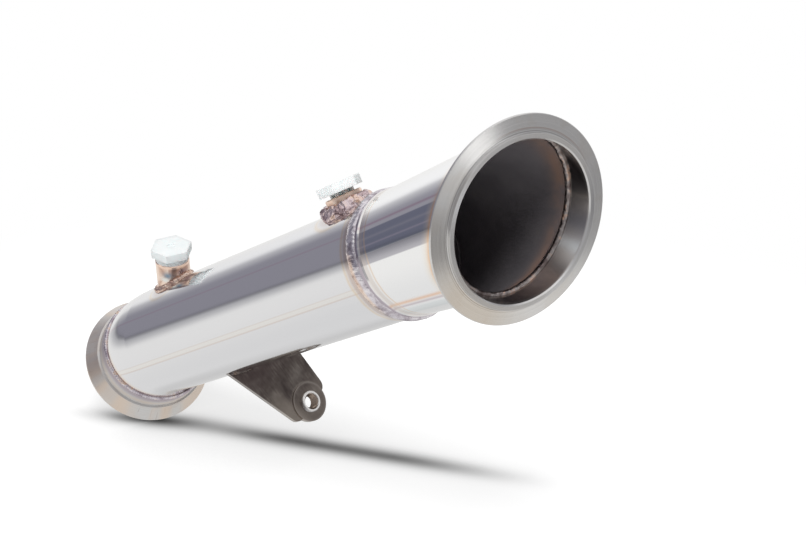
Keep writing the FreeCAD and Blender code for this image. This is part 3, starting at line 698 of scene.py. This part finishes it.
def upper_bung_bead(material):
    """The heavy, spiky cone of weld round the upper bung."""
    count = 360
    top_radius = 0.0156
    base_radius = 0.0205
    below_rim = 0.0034
    bite = 0.0014
    centre = along_pipe(UPPER_BUNG.distance)
    across_way = UPPER_WAY.cross(AXIS)
    top_height = PIPE_RADIUS + UPPER_BUNG.stand - below_rim
    points, ups, widths = [], [], []
    for turn in turns_round(count):
        out = AXIS * math.cos(turn) + across_way * math.sin(turn)
        base_height = math.sqrt(PIPE_RADIUS ** 2 - (base_radius * math.sin(turn)) ** 2)
        top_point = centre + out * top_radius + UPPER_WAY * top_height
        base_point = centre + out * base_radius + UPPER_WAY * base_height
        slant = base_point - top_point
        up = (out - slant.normalized() * out.dot(slant.normalized())).normalized()
        points.append((top_point + base_point) / 2 - up * bite)
        ups.append(up)
        widths.append(slant.length / 2)
    Bead(points, ups, half_width=sum(widths) / len(widths), height=0.0028, pitch=0.0036, ripple=0.22,
         lumps=0.60, lump_size=0.0036, sunk=0.6).add("upper_bung_weld_metal", material, "upper_bung_weld")


def lower_bung_bead(material):
    """The bead that follows the lower bung's foot over the pipe."""
    count, lean_to_pipe = 280, 1.2
    centre = along_pipe(LOWER_BUNG.distance)
    second = LOWER_WAY.cross(LOWER_TOP)
    points, ups = [], []
    for turn in turns_round(count):
        out = LOWER_TOP * math.cos(turn) + second * math.sin(turn)
        start = centre + out * BUNG_RADIUS
        off = start - along_pipe(0)
        flat = off - AXIS * off.dot(AXIS)
        way = LOWER_WAY - AXIS * LOWER_WAY.dot(AXIS)
        a, b, c = way.dot(way), 2 * flat.dot(way), flat.dot(flat) - PIPE_RADIUS ** 2
        point = start + LOWER_WAY * ((-b + math.sqrt(b * b - 4 * a * c)) / (2 * a))
        off = point - along_pipe(0)
        normal = (off - AXIS * off.dot(AXIS)).normalized()
        points.append(point)
        ups.append((normal * lean_to_pipe + out).normalized())
    Bead(points, ups, half_width=0.0030, height=0.0026, pitch=0.0030, ripple=0.40, lumps=0.22, sunk=0.6).add(
        "lower_bung_weld_metal", material, "lower_bung_weld")


def bracket_beads(material):
    """The bead round the root of the bracket, on both sides of its plate."""
    count, lean_outward = 140, 0.6
    half_angle = math.asin(BRACKET_WIDTH / 2 / PIPE_RADIUS) - math.radians(5)
    points, ups = [], []
    for face, way in ((0.0, -1), (PLATE, 1)):
        for i in range(count):
            turn = BRACKET_SIDE + way * half_angle * (2 * i / (count - 1) - 1)
            out = round_pipe(turn)
            points.append(along_pipe(BRACKET_DISTANCE + face) + out * PIPE_RADIUS)
            ups.append((out + AXIS * (way * lean_outward)).normalized())
    Bead(points, ups, half_width=0.0017, height=0.0016, pitch=0.0024, ripple=0.30, lumps=0.15, sunk=0.6).add(
        "bracket_weld_metal", material, "bracket_weld")


def threaded_boss(material):
    """The bracket's boss with its chamfers, countersink and a real screw thread."""
    chamfer, sink_radius, sink_depth = 0.0006, 0.0069, 0.0017
    columns, steps = 96, 72
    flank, root_width = 1.3, 0.15
    across_way = BOSS_WAY.cross(BRACKET_WAY)
    narrow = BOSS_RADIUS - chamfer
    top = BOSS_LENGTH - chamfer

    # the outline outside the thread, with each sharp edge twice
    outer = [(THREAD_RADIUS + THREAD_DEPTH, 0.0)]
    for corner in ((narrow, 0.0), (BOSS_RADIUS, chamfer), (BOSS_RADIUS, top), (narrow, BOSS_LENGTH),
                   (sink_radius, BOSS_LENGTH)):
        outer += [corner, corner]
    rows = [[corner] * columns for corner in outer]
    for k in range(steps + 1):
        height = (BOSS_LENGTH - sink_depth) * (1 - k / steps)
        row = []
        for j in range(columns):
            phase = (height / THREAD_PITCH - j / columns) % 1.0
            groove = 1 - abs(2 * phase - 1)
            cut = min(max(groove * flank - root_width, 0.0), 1.0)
            row.append((THREAD_RADIUS + THREAD_DEPTH * cut, height))
        rows.append(row)
    points = []
    for row in rows:
        for turn, (radius, height) in zip(turns_round(columns), row):
            out = BRACKET_WAY * math.cos(turn) + across_way * math.sin(turn)
            points.append(BOSS_START + BOSS_WAY * height + out * radius)
    faces = grid_faces(len(rows), columns)
    mesh_piece("threaded_boss", points, faces, material, "bracket_boss")


# Studio

CAMERA_PLACE = (0.77146, -0.62671, 0.34209)
CAMERA_WAY = (-0.76768, 0.53455, -0.35345)
CAMERA_LENS = 73.7
AMBIENT = 0.25  # strength of the light from all sides
FLOOR_GAP = 0.0004  # from the floor up to the part's lowest point
FLOOR_SIZE = 8.0
FLOOR_WHITE = 2.1  # brightness at which the lit floor looks white
LIT_SHARE = 0.22  # share of the lit floor, with the part's own shadow, in what the camera sees
WHITE = (1, 1, 1, 1)


def camera():
    """The photograph's viewpoint."""
    data = bpy.data.cameras.new("camera")
    data.lens = CAMERA_LENS
    data.sensor_width = 36.0
    data.clip_start = 0.01
    seat = bpy.data.objects.new("camera", data)
    seat.location = CAMERA_PLACE
    seat.rotation_euler = Vector(CAMERA_WAY).to_track_quat("-Z", "Y").to_euler()
    bpy.context.scene.collection.objects.link(seat)
    bpy.context.scene.camera = seat


# What the turbo flange's face and bore show of the studio: each patch's bearing, half width,
# lower and upper height and soft edge in degrees, then its colour and its strength

FLANGE_PATCHES = (
    (36, 34, -26, 30, 4, (0.42, 0.42, 0.43), 1.0),
    (12, 9, -28, -16, 3, (0.20, 0.19, 0.18), 1.0),
    (57, 9, -26, -14, 3, (0.20, 0.20, 0.21), 1.0),
    (30, 13, -46, -27, 5, (0.80, 0.70, 0.575), 0.85),
    (52, 5, -41, -30, 3, (1.0, 1.0, 1.0), 1.0),
    (21, 6, -14, 22, 3, (1.0, 1.0, 1.0), 1.0),
    (-118, 14, 26, 46, 5, (0.98, 1.0, 1.0), 1.0),
)


def studio_world():
    """A white studio whose open side is dark, as polished metal shows it; its angles are in degrees."""
    world = bpy.data.worlds.new("studio")
    bpy.context.scene.world = world
    world.use_nodes = True
    world.node_tree.nodes.clear()
    f = Finish.__new__(Finish)
    f.tree = world.node_tree
    way = f.node("ShaderNodeTexCoord", {}).outputs["Generated"]
    height = f.degrees(f.math("ARCSINE", f.vector("DOT_PRODUCT", way, (0, 0, 1), "Value")))

    def bearing(middle):
        """Degrees to the left or right of a compass direction."""
        ahead = (math.cos(math.radians(middle)), math.sin(math.radians(middle)), 0)
        beside = (-ahead[1], ahead[0], 0)
        return f.degrees(f.math("ARCTAN2", f.vector("DOT_PRODUCT", way, beside, "Value"),
                                f.vector("DOT_PRODUCT", way, ahead, "Value")))

    def patch(middle, half_width, low, high, soft):
        """A soft-edged window in the studio, by its bearing and its heights."""
        return f.both(f.between(bearing(middle), -half_width, half_width, soft),
                      f.between(height, low, high, soft))

    # the dark opening's lower border rises a little towards the side of the elbow
    off_opening = bearing(-140)
    border = f.math("SUBTRACT", height, f.scaled(f.step(off_opening, -10, -40), 4.0))
    sides = f.both(f.step(off_opening, -47, -25), f.step(off_opening, 50, 40))
    lamps_off = f.step(height, 52.0, 34.0)
    opening = f.both(f.both(sides, lamps_off), f.step(border, -10.4, -9.0))
    shade_below = f.both(sides, f.both(f.step(border, -21.0, -11.5), f.step(border, -9.0, -10.4)))
    ledge = f.both(sides, f.hump(border, -9.9, 1.5))
    off_backdrop = f.inverse(f.between(bearing(140), -45, 42, 4))
    room = f.both(f.both(f.step(height, -16.0, -11.0), lamps_off), off_backdrop)
    colour = f.tinted((0.80, 0.80, 0.80), [
        (f.step(height, -70.0, -25.0), (0.90, 0.895, 0.885), 1.0),
        (f.step(height, -8.0, 10.0), (0.95, 0.95, 0.96), 1.0),
        # a darker patch low behind the part: painted reflection of the part's shadow on the floor
        (patch(152, 22, -58, -28, 8), (0.45, 0.45, 0.45), 0.45),
        (f.both(room, f.inverse(sides)), (0.40, 0.40, 0.42), 0.85),
        (shade_below, (0.34, 0.34, 0.37), 0.72),
        (opening, (0.285, 0.280, 0.325), 1.0),
        (ledge, (0.10, 0.10, 0.12), 0.62),
    ])
    for *window, tint, strength in FLANGE_PATCHES:
        colour = f.tinted(colour, [(patch(*window), tint, strength)])

    def background(shown, strength):
        return f.node("ShaderNodeBackground", {"Color": shown, "Strength": strength}).outputs[0]

    rays = f.node("ShaderNodeLightPath", {}).outputs
    mirrored = f.math("MAXIMUM", rays["Is Glossy Ray"], rays["Is Transmission Ray"])
    unseen = f.mix_shaders(mirrored, background(WHITE, AMBIENT), background(colour, 1.0))
    shown = f.mix_shaders(rays["Is Camera Ray"], unseen, background(WHITE, 1.0))
    f.node("ShaderNodeOutputWorld", {0: shown})


def floor():
    """A white floor just under the part, with the part's own shadow and a painted shadow, which fades to
    plain white further out.
    """
    low = cad_box[0][2] - FLOOR_GAP
    middle = ((cad_box[0][0] + cad_box[1][0]) / 2, (cad_box[0][1] + cad_box[1][1]) / 2)
    bpy.ops.mesh.primitive_plane_add(size=FLOOR_SIZE, location=(middle[0], middle[1], low))
    plane = bpy.context.object
    plane.name = "floor"
    plane.visible_glossy = False
    f = Finish("floor_white", Base_Color=(0.93, 0.93, 0.93, 1.0), Roughness=0.9, Specular_IOR_Level=0.0)

    # the part's own shadow, lit by the lamps and darkened close under it
    open_sky = f.node("ShaderNodeAmbientOcclusion", {"Distance": 0.20}, samples=8).outputs["AO"]
    shade = f.scaled(f.math("POWER", open_sky, 1.6), FLOOR_WHITE)
    own_shadow = f.node("ShaderNodeBsdfDiffuse", {"Color": f.combine(shade, shade, shade)}).outputs[0]

    def streak(spot, heading, width):
        """The distance along a line on the floor, and a soft peak across it."""
        off = f.vector("SUBTRACT", f.place, (spot[0] - middle[0], spot[1] - middle[1], 0))
        ahead = (math.cos(heading), math.sin(heading), 0)
        along = f.vector("DOT_PRODUCT", off, ahead, "Value")
        across = f.vector("DOT_PRODUCT", off, (-ahead[1], ahead[0], 0), "Value")
        return along, f.hump(across, 0.0, width)

    # painted shadow: two soft dark streaks in what the camera sees of the floor
    # the photograph's shadow has a narrow core, one part beside the pipe and one under its flange
    along, ridge = streak(spot=(-0.265, 0.041), heading=math.radians(35.3), width=0.0125)
    beside_pipe = f.both(ridge, f.both(f.step(along, -0.200, -0.050), f.step(along, 0.195, 0.035)))
    along, ridge = streak(spot=(-0.411, -0.067), heading=math.radians(42.3), width=0.0130)
    under_flange = f.both(ridge, f.hump(along, 0.0, 0.052))
    painted_shadow = f.both(f.inverse(f.scaled(beside_pipe, 0.93)), f.inverse(f.scaled(under_flange, 0.98)))

    def glow(strength):
        return f.node("ShaderNodeEmission", {"Color": WHITE, "Strength": strength}).outputs[0]

    rays = f.node("ShaderNodeLightPath", {}).outputs
    reach = f.vector("LENGTH", f.place, output="Value")
    near = f.mix_shaders(LIT_SHARE, glow(painted_shadow), own_shadow)
    shown = f.mix_shaders(f.step(reach, 0.40, 0.70), near, glow(1.0))
    surface = f.mix_shaders(rays["Is Camera Ray"], f.shader.outputs[0], shown)
    f.tree.links.new(surface, f.tree.nodes["Material Output"].inputs["Surface"])
    f.material.cycles.emission_sampling = "NONE"
    plane.data.materials.append(f.material)


def area_light(name, place, target, size, power, glossy=True):
    """A round lamp that faces a point."""
    data = bpy.data.lights.new(name, "AREA")
    data.shape = "DISK"
    data.size = size
    data.energy = power
    lamp = bpy.data.objects.new(name, data)
    lamp.location = place
    lamp.rotation_euler = (Vector(target) - Vector(place)).to_track_quat("-Z", "Y").to_euler()
    lamp.visible_glossy = glossy
    bpy.context.scene.collection.objects.link(lamp)


def lights():
    """One broad soft key from above the camera, and a lamp for the flange's highlights."""
    area_light("key", place=(0.63, -0.88, 1.83), target=(-0.22, -0.03, -0.25), size=1.20, power=48.0,
               glossy=False)
    area_light("strip", place=(1.42, 0.52, 0.18), target=(0, 0, 0), size=0.40, power=0.5)


# Dress the part

bpy.context.scene.view_settings.view_transform = "Standard"

tube = polished_tube()
milky = milky_plastic()
flange_steel = machined_flange("flange_steel", Vector((0, 0, 0)), Vector((1, 0, 0)), RISE,
                               warm=(0.62, 0.57, 0.51), bore_radius=LIP_BORE_RADIUS, rough=0.20,
                               tints=turbo_lines_and_painted_light, bore_reflections=TURBO_BORE_REFLECTIONS)
outlet_steel = machined_flange("outlet_steel", OUTLET_START, OUTLET_WAY, OUTLET_TOP,
                               warm=(0.66, 0.54, 0.45), bore_radius=PIPE_BORE + 0.0008, rough=0.34,
                               tints=outlet_tints)

# Each weld metal's dark, middle, light and warm tones, and its roughness

WELD_TONES = {
    "grey_weld": ((0.30, 0.25, 0.29), (0.50, 0.44, 0.49), (0.70, 0.66, 0.70), (0.76, 0.58, 0.46), 0.18),
    "plum_weld": ((0.22, 0.15, 0.16), (0.52, 0.39, 0.40), (0.76, 0.64, 0.66), (0.84, 0.62, 0.50), 0.16),
    "inner_weld": ((0.12, 0.09, 0.09), (0.22, 0.18, 0.17), (0.38, 0.35, 0.34), (0.66, 0.44, 0.33), 0.24),
    "dark_weld": ((0.07, 0.055, 0.055), (0.12, 0.10, 0.095), (0.20, 0.17, 0.16), (0.26, 0.18, 0.14), 0.28),
    "copper_weld": ((0.34, 0.20, 0.18), (0.66, 0.46, 0.38), (0.86, 0.68, 0.58), (0.82, 0.56, 0.42), 0.14),
}
welds = {name: weld_metal(name, *tones) for name, tones in WELD_TONES.items()}
upper_steel = heated_bung("upper_bung_steel", along_pipe(UPPER_BUNG.distance), UPPER_WAY, AXIS,
                          PIPE_RADIUS + UPPER_BUNG.stand, blue=0.0)
lower_steel = heated_bung("lower_bung_steel", along_pipe(LOWER_BUNG.distance), LOWER_WAY, LOWER_TOP,
                          PIPE_RADIUS / math.cos(LOWER_LEAN) + LOWER_BUNG.stand, blue=0.9)
finishes = {
    "main_pipe": tube,
    "reducer": tube,
    "turbo_flange": flange_steel,
    "outlet_flange": outlet_steel,
    "upper_sensor_bung": upper_steel,
    "lower_sensor_bung": lower_steel,
    "upper_bung_plug": milky,
    "lower_bung_plug": milky,
    "bracket": brushed_bracket(),
}
for node, finish in finishes.items():
    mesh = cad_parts[node].data
    mesh.materials.clear()
    mesh.materials.append(finish)

joint_bead(joint_weld_metal())
outlet_bead(welds["grey_weld"])
turbo_beads(welds["inner_weld"], welds["grey_weld"])
upper_bung_bead(welds["plum_weld"])
lower_bung_bead(welds["copper_weld"])
bracket_beads(welds["dark_weld"])
threaded_boss(turned_boss())

camera()
studio_world()
floor()
lights()
